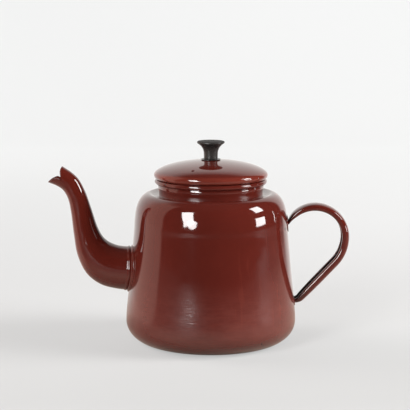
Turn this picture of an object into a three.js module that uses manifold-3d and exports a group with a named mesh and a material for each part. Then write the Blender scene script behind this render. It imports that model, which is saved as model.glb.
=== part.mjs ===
// Enamelled steel teapot with a loose domed lid, a gooseneck spout and a pressed strip handle.
// Millimetres, +Z up: the pot's axis is Z and its foot stands on z = 0.
// The spout points to -X and the handle to +X.
import * as THREE from "three";
import { mergeVertices } from "three/addons/utils/BufferGeometryUtils.js";
import Module from "manifold-3d";

const wasm = await Module();
wasm.setup();

// Sheet, clearances and counts
const SHEET = 1.1;
const SEAT_GAP = 0.3;
const CUT_OVERRUN = 10;
const MERGE_SPAN = 0.03;
const POT_SIDES = 36;
const SMALL_SIDES = 20;
const CURVE_STEPS = 5;

// Pot: foot, wall, shoulder, neck and rolled rim
const FOOT_RADIUS = 52.8;
const FOOT_LIP_WIDTH = 5;
const CORNER_HEIGHT = 19.1;
const BELLY_RADIUS = 75.1;
const WALL_TOP_RADIUS = 66.9;
const WALL_TOP_HEIGHT = 110.5;
const SHOULDER_CREST_RADIUS = 54;
const SHOULDER_RISE = 22.1;
const NECK_ROOT_RADIUS = 45.6;
const NECK_DIP = 1.4;
const NECK_BULGE_RADIUS = 46.5;
const NECK_GROOVE_DEPTH = 0.4;
const NECK_STEPS = 7;
const RIM_RISE = 13.9;
const RIM_BEAD_RADIUS = 2.2;
const BEAD_TURN = 80;
const BEAD_STEPS = 6;

// How far the wall has drawn in from the belly to its top, at even steps of its height.
const wallTaperShares = [0, 0.256, 0.545, 0.826, 1];

// Base: a flat panel with a pressed ring, joggled up to lap on the foot's lip
const BASE_LAP = 6.5;
const BASE_RING_RADIUS = 32;
const BASE_RING_WIDTH = 6;
const BASE_RING_DEPTH = 0.8;

// Strainer: a rose of holes through the wall behind the spout
const STRAINER_HOLE_RADIUS = 1.9;
const STRAINER_PITCH = 6.2;
const STRAINER_RINGS = 2;

// Spout: root on the wall, then a gooseneck up to a beak
const ROOT_HEIGHT = 64.8;
const ROOT_RADIUS = 19.4;
const SPOUT_RUN = 72.4;
const SPOUT_RISE = 91;
const COLLAR_RIM = 1.7;
const COLLAR_HEIGHT = 1.1;
const SPOUT_STEPS = 21;
const SPOUT_SIDES = 24;

// Places along the spout, root to beak, as shares of its run outwards and of its rise above the root's axis:
// the back edge and the front edge that face each other, and the section's width as a share of its depth.
const spoutStationShares = [
  { back: [0.13, 0.222], front: [0.18, -0.199], width: 0.93 },
  { back: [0.205, 0.238], front: [0.37, -0.158], width: 0.87 },
  { back: [0.276, 0.266], front: [0.54, -0.055], width: 0.86 },
  { back: [0.34, 0.312], front: [0.655, 0.13], width: 0.94 },
  { back: [0.402, 0.402], front: [0.698, 0.34], width: 1.02 },
  { back: [0.479, 0.59], front: [0.729, 0.56], width: 1 },
  { back: [0.549, 0.752], front: [0.764, 0.69], width: 0.99 },
  { back: [0.629, 0.874], front: [0.822, 0.77], width: 0.94 },
  { back: [0.708, 0.938], front: [0.9, 0.813], width: 0.9 },
  { back: [0.822, 1], front: [1, 0.845], width: 0.86 },
];

// The beak's edge in the same shares: ear tip, bowed ear, notch, lip corner, bowed lip and lip tip.
const earTipShares = [0.822, 1];
const earBowShares = [0.862, 0.952];
const notchShares = [0.818, 0.868];
const lipCornerShares = [0.845, 0.893];
const lipBowShares = [0.91, 0.905];
const lipTipShares = [1, 0.845];

// Handle: a bow that opens out on its lower side, then a straight run down to the lower foot
const BOW_RADIUS = 26.8;
const LOWER_BOW_RADIUS = 33.6;
const BOW_CENTRE_RADIUS = 92;
const BOW_CENTRE_HEIGHT = 93.4;
const UPPER_JOINT_HEIGHT = 105.4;
const LOWER_JOINT_HEIGHT = 36;
const LOWER_BEND_LENGTH = 3.2;
const HANDLE_WIDTH = 18;
const HANDLE_DEPTH = 7;
const HANDLE_SHEET = 0.9;
const HANDLE_WRAP = 140;
const HANDLE_STEPS = 26;
const HANDLE_SECTION_STEPS = 10;
const FOOT_PLATE_SHEET = 0.6;
const FOOT_PLATE_WIDTH = 20;
const UPPER_PLATE_HEIGHT = 15.5;
const LOWER_PLATE_HEIGHT = 9;

// Depth and width of the strip along its length, as shares of the full section.
const handleDepthShares = [
  0.26, 0.72, 0.87, 0.93, 0.94, 0.95, 0.98, 1, 1.02, 1.04, 1.05, 1.05, 1.04, 1, 0.9, 0.4,
];
const handleWidthShares = [0.78, 0.86, 0.95, 1, 1, 1, 1, 1, 1, 1, 1, 1, 0.97, 0.92, 0.84, 0.78];

// Lid: dome, rolled edge, steam vent and the flange that drops into the mouth
const LID_RADIUS = 50.1;
const LID_RISE = 12.95;
const LID_EDGE_RADIUS = 2.6;
const LID_EDGE_DROP = 3.4;
const LID_EDGE_TURN = 215;
const LID_STEPS = 8;
const DOME_FULLNESS = 1.9;
const DOME_POWER = 0.55;
const VENT_RADIUS = 1.4;
const VENT_DISTANCE = 39;
const VENT_TURN = -113.3;
const FLANGE_CLEARANCE = 1;
const FLANGE_DROP = 11.5;
const FLANGE_BEND = 3;
const FLANGE_BEND_TURN = 65;
const FLANGE_TAB = 4;

// Knob, its disc, the screw and its washer
const KNOB_HEIGHT = 15.3;
const KNOB_NECK_RADIUS = 6.1;
const KNOB_TOP_RADIUS = 12.1;
const KNOB_EDGE = 0.9;
const KNOB_CROWN = 0.9;
const KNOB_FLARE_POWER = 3.8;
const KNOB_STEPS = 8;
const KNOB_DISC_RADIUS = 9.3;
const KNOB_DISC_HEIGHT = 0.7;
const SCREW_RADIUS = 2;
const SCREW_GRIP = 9;
const SCREW_HEAD_RADIUS = 4.4;
const SCREW_HEAD_HEIGHT = 2.4;
const SCREW_WASHER_RADIUS = 7;
const SCREW_WASHER_HEIGHT = 0.9;

// Sizes that follow
const CORNER_WIDTH = BELLY_RADIUS - FOOT_RADIUS;
const SHOULDER_CREST_HEIGHT = WALL_TOP_HEIGHT + SHOULDER_RISE;
const NECK_ROOT_HEIGHT = SHOULDER_CREST_HEIGHT - NECK_DIP;
const RIM_HEIGHT = NECK_ROOT_HEIGHT + RIM_RISE;
const GROOVE_RADIUS = NECK_BULGE_RADIUS - NECK_GROOVE_DEPTH;
const GROOVE_HEIGHT = RIM_HEIGHT - 2 * RIM_BEAD_RADIUS;
const MOUTH_RADIUS = GROOVE_RADIUS - SHEET;
const RIM_BEAD_CENTRE = MOUTH_RADIUS + RIM_BEAD_RADIUS;
const LID_EDGE_HEIGHT = RIM_HEIGHT + SEAT_GAP + LID_EDGE_DROP;
const LID_TOP_HEIGHT = LID_EDGE_HEIGHT + LID_RISE;
const FLANGE_RADIUS = MOUTH_RADIUS - FLANGE_CLEARANCE;
const KNOB_DISC_BOTTOM = LID_TOP_HEIGHT + SEAT_GAP;
const KNOB_BOTTOM = KNOB_DISC_BOTTOM + KNOB_DISC_HEIGHT + SEAT_GAP;
const SCREW_HOLE_RADIUS = SCREW_RADIUS + SEAT_GAP;
const LID_HOLE_INSIDE = LID_TOP_HEIGHT - SHEET;
const SCREW_WASHER_BOTTOM = LID_HOLE_INSIDE - 2 * SEAT_GAP - SCREW_WASHER_HEIGHT;
const SCREW_HEAD_TOP = SCREW_WASHER_BOTTOM - SEAT_GAP;
const BASE_LAP_HEIGHT = SHEET + SEAT_GAP;
const FOOT_PLATE_FACE = SEAT_GAP + FOOT_PLATE_SHEET;

const enamel = new THREE.MeshStandardMaterial({ color: 0x5d281e, roughness: 0.12, metalness: 0 });
const blackPlastic = new THREE.MeshStandardMaterial({ color: 0x23201f, roughness: 0.3, metalness: 0 });
const steel = new THREE.MeshStandardMaterial({ color: 0xa7a6a2, roughness: 0.35, metalness: 1 });

const radians = (degrees) => THREE.MathUtils.degToRad(degrees);

// Points of an elliptical arc, both ends included; angles in degrees.
function arc(x, z, radiusX, radiusZ, from, to, steps) {
  return Array.from({ length: steps + 1 }, (_, i) => {
    const turn = radians(from + ((to - from) * i) / steps);
    return new THREE.Vector2(x + radiusX * Math.cos(turn), z + radiusZ * Math.sin(turn));
  });
}

// One line from several stretches, leaving out points that two stretches share.
function joinLines(...lines) {
  const joined = [];
  for (const point of lines.flat()) {
    const last = joined.at(-1);
    const span = last ? last.distanceTo(point) : Infinity;
    if (span > MERGE_SPAN) joined.push(point);
  }
  return joined;
}

// The line moved sideways, to the left of its direction, by a distance.
function offsetLine(line, distance) {
  return line.map((point, i) => {
    const before = line[Math.max(i - 1, 0)];
    const after = line[Math.min(i + 1, line.length - 1)];
    const along = after.clone().sub(before).normalize();
    return new THREE.Vector2(point.x - along.y * distance, point.y + along.x * distance);
  });
}

// Outline of a sheet whose outer face follows the line, closed on itself.
function sheetOutline(line, thickness) {
  const inner = offsetLine(line, thickness).reverse();
  return [...line, ...inner, line[0].clone()];
}

function revolve(outline, sides) {
  return new THREE.LatheGeometry(outline, sides).rotateX(Math.PI / 2);
}

function solidOf(geometry) {
  const bare = geometry.clone();
  bare.deleteAttribute("normal");
  bare.deleteAttribute("uv");
  const merged = mergeVertices(bare);
  const mesh = new wasm.Mesh({
    numProp: 3,
    vertProperties: merged.attributes.position.array,
    triVerts: new Uint32Array(merged.index.array),
  });
  return new wasm.Manifold(mesh);
}

function geometryOf(solid) {
  const mesh = solid.getMesh();
  const geometry = new THREE.BufferGeometry();
  geometry.setAttribute("position", new THREE.BufferAttribute(mesh.vertProperties, 3));
  geometry.setIndex(new THREE.BufferAttribute(mesh.triVerts, 1));
  geometry.computeVertexNormals();
  return geometry;
}

// A surface through rings of equal point counts: joined last to first, or closed by caps cut from an outline.
function loft(rings, capOutline = null) {
  const around = rings[0].length;
  const faces = [];
  const stretches = capOutline ? rings.length - 1 : rings.length;
  for (let i = 0; i < stretches; i++) {
    const here = i * around;
    const next = ((i + 1) % rings.length) * around;
    for (let k = 0; k < around; k++) {
      const beside = (k + 1) % around;
      faces.push(here + k, here + beside, next + beside);
      faces.push(here + k, next + beside, next + k);
    }
  }
  if (capOutline) {
    const end = (rings.length - 1) * around;
    for (const [a, b, c] of THREE.ShapeUtils.triangulateShape(capOutline, [])) {
      faces.push(a, c, b);
      faces.push(end + a, end + b, end + c);
    }
  }
  const geometry = new THREE.BufferGeometry().setFromPoints(rings.flat());
  geometry.setIndex(faces);
  return geometry;
}

// A value read from a table of shares at a share of its length.
function shareAt(shares, along) {
  const place = along * (shares.length - 1);
  const before = THREE.MathUtils.clamp(Math.floor(place), 0, shares.length - 2);
  return THREE.MathUtils.lerp(shares[before], shares[before + 1], place - before);
}

// Outer radius of the tapered wall at a height.
function wallRadius(height) {
  const rise = (height - CORNER_HEIGHT) / (WALL_TOP_HEIGHT - CORNER_HEIGHT);
  return THREE.MathUtils.lerp(BELLY_RADIUS, WALL_TOP_RADIUS, shareAt(wallTaperShares, rise));
}

function wallLine() {
  return wallTaperShares.map((_, i) => {
    const height = THREE.MathUtils.lerp(CORNER_HEIGHT, WALL_TOP_HEIGHT, i / (wallTaperShares.length - 1));
    return new THREE.Vector2(wallRadius(height), height);
  });
}

function shoulderLine() {
  const width = WALL_TOP_RADIUS - SHOULDER_CREST_RADIUS;
  return arc(SHOULDER_CREST_RADIUS, WALL_TOP_HEIGHT, width, SHOULDER_RISE, 0, 90, CURVE_STEPS);
}

// The outer line of the pot from the foot's lip up to the groove under the rim.
function potLine() {
  const corner = arc(FOOT_RADIUS, CORNER_HEIGHT, CORNER_WIDTH, CORNER_HEIGHT, -90, 0, CURVE_STEPS);
  const crest = SHOULDER_CREST_RADIUS;
  const dipRadius = THREE.MathUtils.lerp(crest, NECK_ROOT_RADIUS, 0.7);
  const bulgeHeight = THREE.MathUtils.lerp(NECK_ROOT_HEIGHT, GROOVE_HEIGHT, 0.75);
  const neck = new THREE.SplineCurve([
    new THREE.Vector2(crest, SHOULDER_CREST_HEIGHT),
    new THREE.Vector2(dipRadius, NECK_ROOT_HEIGHT + SEAT_GAP),
    new THREE.Vector2(NECK_ROOT_RADIUS, NECK_ROOT_HEIGHT + SHEET),
    new THREE.Vector2(NECK_BULGE_RADIUS, bulgeHeight),
    new THREE.Vector2(GROOVE_RADIUS, GROOVE_HEIGHT),
  ]);
  const lip = [new THREE.Vector2(FOOT_RADIUS - FOOT_LIP_WIDTH, 0)];
  return joinLines(lip, corner, wallLine(), shoulderLine(), neck.getPoints(NECK_STEPS));
}

// The pot's wall and shoulder as a blank grown by a distance, to cut what sits on them.
function wallBlank(grow) {
  const line = joinLines(wallLine(), shoulderLine());
  const grown = line.map((point) => new THREE.Vector2(point.x + grow, point.y));
  const outline = [
    new THREE.Vector2(0, CORNER_HEIGHT),
    ...grown,
    new THREE.Vector2(0, SHOULDER_CREST_HEIGHT),
  ];
  return solidOf(revolve(outline, POT_SIDES));
}

// What lies on the wall between two distances from its face.
function onWall(blank, from, to) {
  return blank.intersect(wallBlank(to)).subtract(wallBlank(from));
}

// The frame of the spout's root: x out of the wall along the root's axis, z up along the wall.
function rootFrame() {
  const lean = Math.atan2(BELLY_RADIUS - WALL_TOP_RADIUS, WALL_TOP_HEIGHT - CORNER_HEIGHT);
  const out = new THREE.Vector3(-Math.cos(lean), 0, Math.sin(lean));
  const across = new THREE.Vector3(0, -1, 0);
  const up = new THREE.Vector3(Math.sin(lean), 0, Math.cos(lean));
  const frame = new THREE.Matrix4().makeBasis(out, across, up);
  return frame.setPosition(-wallRadius(ROOT_HEIGHT), 0, ROOT_HEIGHT);
}

function strainerHoles() {
  const places = [[0, 0]];
  for (let ring = 1; ring <= STRAINER_RINGS; ring++) {
    const count = 6 * ring;
    for (let k = 0; k < count; k++) {
      const turn = (2 * Math.PI * k) / count;
      places.push([ring * STRAINER_PITCH * Math.cos(turn), ring * STRAINER_PITCH * Math.sin(turn)]);
    }
  }
  const hole = new THREE.CylinderGeometry(STRAINER_HOLE_RADIUS, STRAINER_HOLE_RADIUS, 2 * CUT_OVERRUN, 8);
  hole.rotateZ(Math.PI / 2);
  const cutters = places.map(([across, up]) => {
    const cutter = hole.clone().translate(0, across, up).applyMatrix4(rootFrame());
    return solidOf(cutter);
  });
  return cutters.reduce((all, cutter) => all.add(cutter));
}

function bodyShell() {
  const outer = potLine();
  const inner = offsetLine(outer, SHEET).reverse();
  const beadSize = RIM_BEAD_RADIUS;
  const bead = arc(RIM_BEAD_CENTRE, RIM_HEIGHT - beadSize, beadSize, beadSize, -BEAD_TURN, 180, BEAD_STEPS);
  const outline = joinLines(outer, bead, inner, [outer[0].clone()]);
  return solidOf(revolve(outline, POT_SIDES)).subtract(strainerHoles());
}

function baseDisc() {
  const lapRadius = FOOT_RADIUS - FOOT_LIP_WIDTH - SEAT_GAP;
  const panelRadius = lapRadius - SHEET;
  const ringInside = BASE_RING_RADIUS - BASE_RING_WIDTH / 2;
  const ringOutside = BASE_RING_RADIUS + BASE_RING_WIDTH / 2;
  const line = [
    [0, 0],
    [ringInside, 0],
    [BASE_RING_RADIUS - BASE_RING_DEPTH, BASE_RING_DEPTH],
    [BASE_RING_RADIUS + BASE_RING_DEPTH, BASE_RING_DEPTH],
    [ringOutside, 0],
    [panelRadius, 0],
    [lapRadius, BASE_LAP_HEIGHT],
    [lapRadius + BASE_LAP, BASE_LAP_HEIGHT],
  ].map(([x, z]) => new THREE.Vector2(x, z));
  const inner = line.map((point) => new THREE.Vector2(point.x, point.y + SHEET)).reverse();
  return revolve([...line, ...inner], POT_SIDES);
}

// A point of the spout's side view from its shares of the run and the rise.
function spoutPlace([run, rise]) {
  return new THREE.Vector3(-wallRadius(ROOT_HEIGHT) - run * SPOUT_RUN, 0, ROOT_HEIGHT + rise * SPOUT_RISE);
}

function spoutEdge(side, rootUp) {
  const frame = rootFrame();
  const root = [-CUT_OVERRUN, 0].map((out) => new THREE.Vector3(out, 0, rootUp).applyMatrix4(frame));
  const places = spoutStationShares.map((station) => spoutPlace(station[side]));
  return new THREE.CatmullRomCurve3([...root, ...places]);
}

// Rings of the spout's surface, each an ellipse between the back and the front edge, drawn in by an inset.
function spoutRings(inset) {
  const back = spoutEdge("back", ROOT_RADIUS);
  const front = spoutEdge("front", -ROOT_RADIUS);
  const widthShares = [1, 1, ...spoutStationShares.map((station) => station.width)];
  return Array.from({ length: SPOUT_STEPS + 1 }, (_, i) => {
    const top = back.getPoint(i / SPOUT_STEPS);
    const bottom = front.getPoint(i / SPOUT_STEPS);
    const half = top.clone().sub(bottom).multiplyScalar(0.5);
    const centre = bottom.clone().add(half);
    const depth = half.length();
    const halfWidth = depth * shareAt(widthShares, i / SPOUT_STEPS) - inset;
    half.setLength(depth - inset);
    return Array.from({ length: SPOUT_SIDES }, (_, k) => {
      const turn = (2 * Math.PI * k) / SPOUT_SIDES;
      const point = centre.clone().addScaledVector(half, Math.cos(turn));
      point.y = halfWidth * Math.sin(turn);
      return point;
    });
  });
}

// What the beak's edge cuts away: all that lies beyond the ear, the notch and the lip.
function beakCutter() {
  const flat = (shares) => {
    const place = spoutPlace(shares);
    return new THREE.Vector2(place.x, place.z);
  };
  const earTip = flat(earTipShares);
  const lipTip = flat(lipTipShares);
  const notch = flat(notchShares);
  const lipCorner = flat(lipCornerShares);
  const ear = new THREE.QuadraticBezierCurve(earTip, flat(earBowShares), notch);
  const lip = new THREE.QuadraticBezierCurve(lipCorner, flat(lipBowShares), lipTip);
  const outline = [
    ...ear.getPoints(CURVE_STEPS),
    ...lip.getPoints(CURVE_STEPS),
    new THREE.Vector2(lipTip.x - CUT_OVERRUN, lipTip.y),
    new THREE.Vector2(lipTip.x - CUT_OVERRUN, earTip.y + CUT_OVERRUN),
    new THREE.Vector2(earTip.x, earTip.y + CUT_OVERRUN),
  ];
  const depth = 2 * (ROOT_RADIUS + CUT_OVERRUN);
  const cutter = new THREE.ExtrudeGeometry(new THREE.Shape(outline), { depth, bevelEnabled: false });
  return solidOf(cutter.translate(0, 0, -depth / 2).rotateX(Math.PI / 2));
}

function spoutHalves() {
  const tube = solidOf(loft([...spoutRings(0), ...spoutRings(SHEET).reverse()]));
  const rootFace = COLLAR_HEIGHT + 2 * SEAT_GAP;
  const spout = tube.subtract(wallBlank(rootFace)).subtract(beakCutter());
  const seam = SEAT_GAP / 2;
  return { left: spout.trimByPlane([0, -1, 0], seam), right: spout.trimByPlane([0, 1, 0], seam) };
}

function spoutCollar() {
  const inside = ROOT_RADIUS - SHEET;
  const outside = ROOT_RADIUS + COLLAR_RIM;
  const section = [
    new THREE.Vector2(inside, -CUT_OVERRUN),
    new THREE.Vector2(outside, -CUT_OVERRUN),
    new THREE.Vector2(outside, CUT_OVERRUN),
    new THREE.Vector2(inside, CUT_OVERRUN),
    new THREE.Vector2(inside, -CUT_OVERRUN),
  ];
  const ring = revolve(section, SPOUT_SIDES).rotateY(Math.PI / 2).applyMatrix4(rootFrame());
  return onWall(solidOf(ring), SEAT_GAP, SEAT_GAP + COLLAR_HEIGHT);
}

// The handle's middle line in side view: round the bow, straight down, and a short bend on to the wall.
function handlePath() {
  const lower = new THREE.Vector2(wallRadius(LOWER_JOINT_HEIGHT) + LOWER_BEND_LENGTH, LOWER_JOINT_HEIGHT);
  const lowerCentre = new THREE.Vector2(BOW_CENTRE_RADIUS + BOW_RADIUS - LOWER_BOW_RADIUS, BOW_CENTRE_HEIGHT);
  const upperTurn = Math.PI - Math.asin((UPPER_JOINT_HEIGHT - BOW_CENTRE_HEIGHT) / BOW_RADIUS);
  const toLower = lower.clone().sub(lowerCentre);
  const lowerTurn = toLower.angle() - 2 * Math.PI + Math.acos(LOWER_BOW_RADIUS / toLower.length());
  const path = new THREE.Path();
  path.absarc(BOW_CENTRE_RADIUS, BOW_CENTRE_HEIGHT, BOW_RADIUS, upperTurn, 0, true);
  path.absarc(lowerCentre.x, lowerCentre.y, LOWER_BOW_RADIUS, 0, lowerTurn, true);
  const leave = path.currentPoint.clone();
  const bendStart = lower.clone().lerp(leave, LOWER_BEND_LENGTH / lower.distanceTo(leave));
  path.lineTo(bendStart.x, bendStart.y);
  path.quadraticCurveTo(lower.x, lower.y, lower.x - 2 * LOWER_BEND_LENGTH, lower.y);
  return path;
}

// The strip's C section, open towards the pot: x is out of the bow and y is across the strip.
function handleSection(halfDepth, halfWidth) {
  const face = (depth, width) => arc(0, 0, depth, width, -HANDLE_WRAP, HANDLE_WRAP, HANDLE_SECTION_STEPS);
  const inside = face(halfDepth - HANDLE_SHEET, halfWidth - HANDLE_SHEET).reverse();
  return [...face(halfDepth, halfWidth), ...inside];
}

function handleStrip() {
  const path = handlePath();
  const rings = Array.from({ length: HANDLE_STEPS + 1 }, (_, i) => {
    const along = i / HANDLE_STEPS;
    const place = path.getPointAt(along);
    const tangent = path.getTangentAt(along);
    const halfDepth = (HANDLE_DEPTH * shareAt(handleDepthShares, along)) / 2;
    const halfWidth = (HANDLE_WIDTH * shareAt(handleWidthShares, along)) / 2;
    return handleSection(halfDepth, halfWidth).map(
      ({ x: out, y: across }) =>
        new THREE.Vector3(place.x - tangent.y * out, -across, place.y + tangent.x * out),
    );
  });
  const strip = solidOf(loft(rings, handleSection(HANDLE_DEPTH, HANDLE_WIDTH)));
  return strip.subtract(wallBlank(FOOT_PLATE_FACE + SEAT_GAP));
}

function footPlate(height, plateHeight) {
  const plate = new THREE.CylinderGeometry(1, 1, 2 * CUT_OVERRUN, SMALL_SIDES);
  plate.rotateZ(Math.PI / 2).scale(1, FOOT_PLATE_WIDTH / 2, plateHeight / 2);
  plate.translate(wallRadius(height), 0, height);
  return onWall(solidOf(plate), SEAT_GAP, FOOT_PLATE_FACE);
}

function domeHeight(radius) {
  const fall = 1 - Math.pow(Math.min(radius / LID_RADIUS, 1), DOME_FULLNESS);
  return LID_EDGE_HEIGHT + LID_RISE * Math.pow(fall, DOME_POWER);
}

// The dome's outer line from the screw hole out to a radius, with more points towards the edge.
function domeLine(toRadius) {
  const last = Math.asin(Math.min(toRadius / LID_RADIUS, 1));
  return Array.from({ length: LID_STEPS + 1 }, (_, i) => {
    const radius = Math.max(LID_RADIUS * Math.sin((last * i) / LID_STEPS), SCREW_HOLE_RADIUS);
    return new THREE.Vector2(radius, domeHeight(radius));
  });
}

function lidDome() {
  const edgeSize = LID_EDGE_RADIUS;
  const edgeCentre = LID_RADIUS - edgeSize;
  const edge = arc(edgeCentre, LID_EDGE_HEIGHT, edgeSize, LID_EDGE_DROP, 0, -LID_EDGE_TURN, LID_STEPS);
  const inner = offsetLine(domeLine(edgeCentre - edgeSize), -SHEET).reverse();
  const outer = domeLine(LID_RADIUS);
  const outline = joinLines(outer, edge, inner, [outer[0].clone()]).reverse();
  const vent = new THREE.CylinderGeometry(VENT_RADIUS, VENT_RADIUS, 2 * CUT_OVERRUN, 12);
  vent.rotateX(Math.PI / 2).translate(VENT_DISTANCE, 0, domeHeight(VENT_DISTANCE));
  vent.rotateZ(radians(VENT_TURN));
  return solidOf(revolve(outline, POT_SIDES)).subtract(solidOf(vent));
}

function lidFlange() {
  const underside = (radius) => domeHeight(radius) - SHEET - 2 * SEAT_GAP;
  const bendHeight = underside(FLANGE_RADIUS) - FLANGE_BEND;
  const tabStart = FLANGE_RADIUS - FLANGE_BEND;
  const line = joinLines(
    [new THREE.Vector2(FLANGE_RADIUS - FLANGE_CLEARANCE / 2, RIM_HEIGHT - FLANGE_DROP)],
    [new THREE.Vector2(FLANGE_RADIUS, RIM_HEIGHT - FLANGE_DROP + FLANGE_BEND)],
    arc(tabStart, bendHeight, FLANGE_BEND, FLANGE_BEND, 0, FLANGE_BEND_TURN, 2),
    [new THREE.Vector2(tabStart, underside(tabStart))],
    [new THREE.Vector2(tabStart - FLANGE_TAB, underside(tabStart - FLANGE_TAB))],
  );
  return revolve(sheetOutline(line, SHEET), POT_SIDES);
}

function knob() {
  const flareHeight = KNOB_HEIGHT - KNOB_CROWN - KNOB_EDGE;
  const edgeCentre = KNOB_TOP_RADIUS - KNOB_EDGE / 2;
  const flare = Array.from({ length: KNOB_STEPS + 1 }, (_, i) => {
    const rise = i / KNOB_STEPS;
    const radius = THREE.MathUtils.lerp(KNOB_NECK_RADIUS, edgeCentre, Math.pow(rise, KNOB_FLARE_POWER));
    return new THREE.Vector2(radius, KNOB_BOTTOM + flareHeight * rise);
  });
  const edgeHeight = KNOB_BOTTOM + flareHeight + KNOB_EDGE / 2;
  const edge = arc(edgeCentre, edgeHeight, KNOB_EDGE / 2, KNOB_EDGE / 2, -90, 90, 4);
  const crown = arc(0, edgeHeight + KNOB_EDGE / 2, KNOB_TOP_RADIUS - KNOB_EDGE, KNOB_CROWN, 30, 90, 4);
  const boreTop = KNOB_BOTTOM + SCREW_GRIP + SEAT_GAP;
  const outline = joinLines(
    [new THREE.Vector2(SCREW_HOLE_RADIUS, KNOB_BOTTOM)],
    flare,
    edge,
    crown.slice(0, -1),
    [new THREE.Vector2(0, KNOB_BOTTOM + KNOB_HEIGHT)],
    [new THREE.Vector2(0, boreTop)],
    [new THREE.Vector2(SCREW_HOLE_RADIUS, boreTop)],
    [new THREE.Vector2(SCREW_HOLE_RADIUS, KNOB_BOTTOM)],
  );
  return revolve(outline, SMALL_SIDES);
}

// A flat washer round the screw.
function washer(radius, bottom, height) {
  const outline = [
    new THREE.Vector2(SCREW_HOLE_RADIUS, bottom),
    new THREE.Vector2(radius, bottom),
    new THREE.Vector2(radius, bottom + height),
    new THREE.Vector2(SCREW_HOLE_RADIUS, bottom + height),
    new THREE.Vector2(SCREW_HOLE_RADIUS, bottom),
  ];
  return revolve(outline, SMALL_SIDES);
}

function knobScrew() {
  const head = arc(0, SCREW_HEAD_TOP, SCREW_HEAD_RADIUS, SCREW_HEAD_HEIGHT, -90, 0, 4);
  const outline = joinLines(
    head,
    [new THREE.Vector2(SCREW_RADIUS, SCREW_HEAD_TOP)],
    [new THREE.Vector2(SCREW_RADIUS, KNOB_BOTTOM + SCREW_GRIP)],
    [new THREE.Vector2(0, KNOB_BOTTOM + SCREW_GRIP)],
  );
  return revolve(outline, SMALL_SIDES);
}

const teapot = new THREE.Group();

function addPiece(name, geometry, material) {
  const piece = new THREE.Mesh(geometry, material);
  piece.name = name;
  teapot.add(piece);
}

const spout = spoutHalves();
addPiece("body_shell", geometryOf(bodyShell()), enamel);
addPiece("base_disc", baseDisc(), enamel);
addPiece("spout_left", geometryOf(spout.left), enamel);
addPiece("spout_right", geometryOf(spout.right), enamel);
addPiece("spout_collar", geometryOf(spoutCollar()), enamel);
addPiece("handle_strip", geometryOf(handleStrip()), enamel);
addPiece("handle_upper_foot", geometryOf(footPlate(UPPER_JOINT_HEIGHT, UPPER_PLATE_HEIGHT)), enamel);
addPiece("handle_lower_foot", geometryOf(footPlate(LOWER_JOINT_HEIGHT, LOWER_PLATE_HEIGHT)), enamel);
addPiece("lid_dome", geometryOf(lidDome()), enamel);
addPiece("lid_flange", lidFlange(), enamel);
addPiece("knob", knob(), blackPlastic);
addPiece("knob_washer", washer(KNOB_DISC_RADIUS, KNOB_DISC_BOTTOM, KNOB_DISC_HEIGHT), blackPlastic);
addPiece("knob_screw", knobScrew(), steel);
addPiece("screw_washer", washer(SCREW_WASHER_RADIUS, SCREW_WASHER_BOTTOM, SCREW_WASHER_HEIGHT), steel);

export default teapot;
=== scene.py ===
"""Enamelled teapot: fine skins over the CAD frame, their finishes, and the paper and room around them."""
import math

import bmesh
import bpy
import numpy as np
from mathutils import Matrix, Vector


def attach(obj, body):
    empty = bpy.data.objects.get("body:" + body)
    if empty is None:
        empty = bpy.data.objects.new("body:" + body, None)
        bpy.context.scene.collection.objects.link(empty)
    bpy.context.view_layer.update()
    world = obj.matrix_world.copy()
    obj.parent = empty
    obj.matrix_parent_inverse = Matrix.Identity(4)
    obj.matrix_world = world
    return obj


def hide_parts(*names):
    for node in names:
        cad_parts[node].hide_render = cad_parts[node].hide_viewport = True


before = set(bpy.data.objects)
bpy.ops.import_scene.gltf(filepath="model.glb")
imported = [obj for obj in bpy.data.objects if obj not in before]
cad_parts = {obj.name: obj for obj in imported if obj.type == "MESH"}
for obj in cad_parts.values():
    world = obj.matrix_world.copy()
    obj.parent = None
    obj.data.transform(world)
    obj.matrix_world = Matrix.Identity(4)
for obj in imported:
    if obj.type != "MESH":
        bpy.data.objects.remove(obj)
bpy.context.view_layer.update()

MM = 0.001

# How skins and cutters are made: lengths in metres, creases in degrees, rods in millimetres
WELD_WITHIN = 0.000002
TOO_SHORT = 0.0000005
SKIN_CREASE = 50
CUT_CREASE = 40
ROD_SIDES = 28
ROD_LENGTH = 20
HALVINGS = 18
ROUND_COLUMNS = 112

# The pot: all shapes are in millimetres
SHEET = 1.1
FOOT_RADIUS = 52.8
FOOT_LIP = 5.0
CORNER_HEIGHT = 19.1
BELLY_RADIUS = 75.1
WALL_TOP_RADIUS = 66.9
WALL_TOP_HEIGHT = 110.5
SHOULDER_START = 116.0
WALL_LEANS = [(19.1, 0.0), (24, 3.0), (30, 6.2), (38, 6.2), (60, 5.7), (96, 5.6), (101.3, 5.2), (104, 3.4),
              (106.2, 3.2), (108.7, 5.0), (111.8, 7.2), (SHOULDER_START, 8.5)]
CREST_RADIUS = 54.0
CREST_HEIGHT = 132.6
NECK_RADIUS = 45.6
NECK_HEIGHT = 131.2
BULGE_RADIUS = 46.5
GROOVE_RADIUS = 46.1
RIM_HEIGHT = 145.1
RIM_BEAD = 2.2
BEAD_CENTRE = 47.2
NECK_LINE = [(CREST_RADIUS, CREST_HEIGHT), (50.0, 131.8), (47.0, 131.25), (NECK_RADIUS + 0.2, NECK_HEIGHT),
             (NECK_RADIUS + 0.02, 131.35), (NECK_RADIUS, 131.6), (NECK_RADIUS, 132.5),
             (NECK_RADIUS + 0.12, 134.4), (BULGE_RADIUS, 138.3), (GROOVE_RADIUS, RIM_HEIGHT - 2 * RIM_BEAD)]
STRAINER_RINGS = (1, 2)
STRAINER_PITCH = 6.2
STRAINER_HOLE = 1.9
BASE_GAP = 0.3
BASE_RING = [(29, 0), (30.4, 0.35), (32, 0.8), (33.6, 0.35), (35, 0)]
BASE_JOGGLE = 1.4
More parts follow.
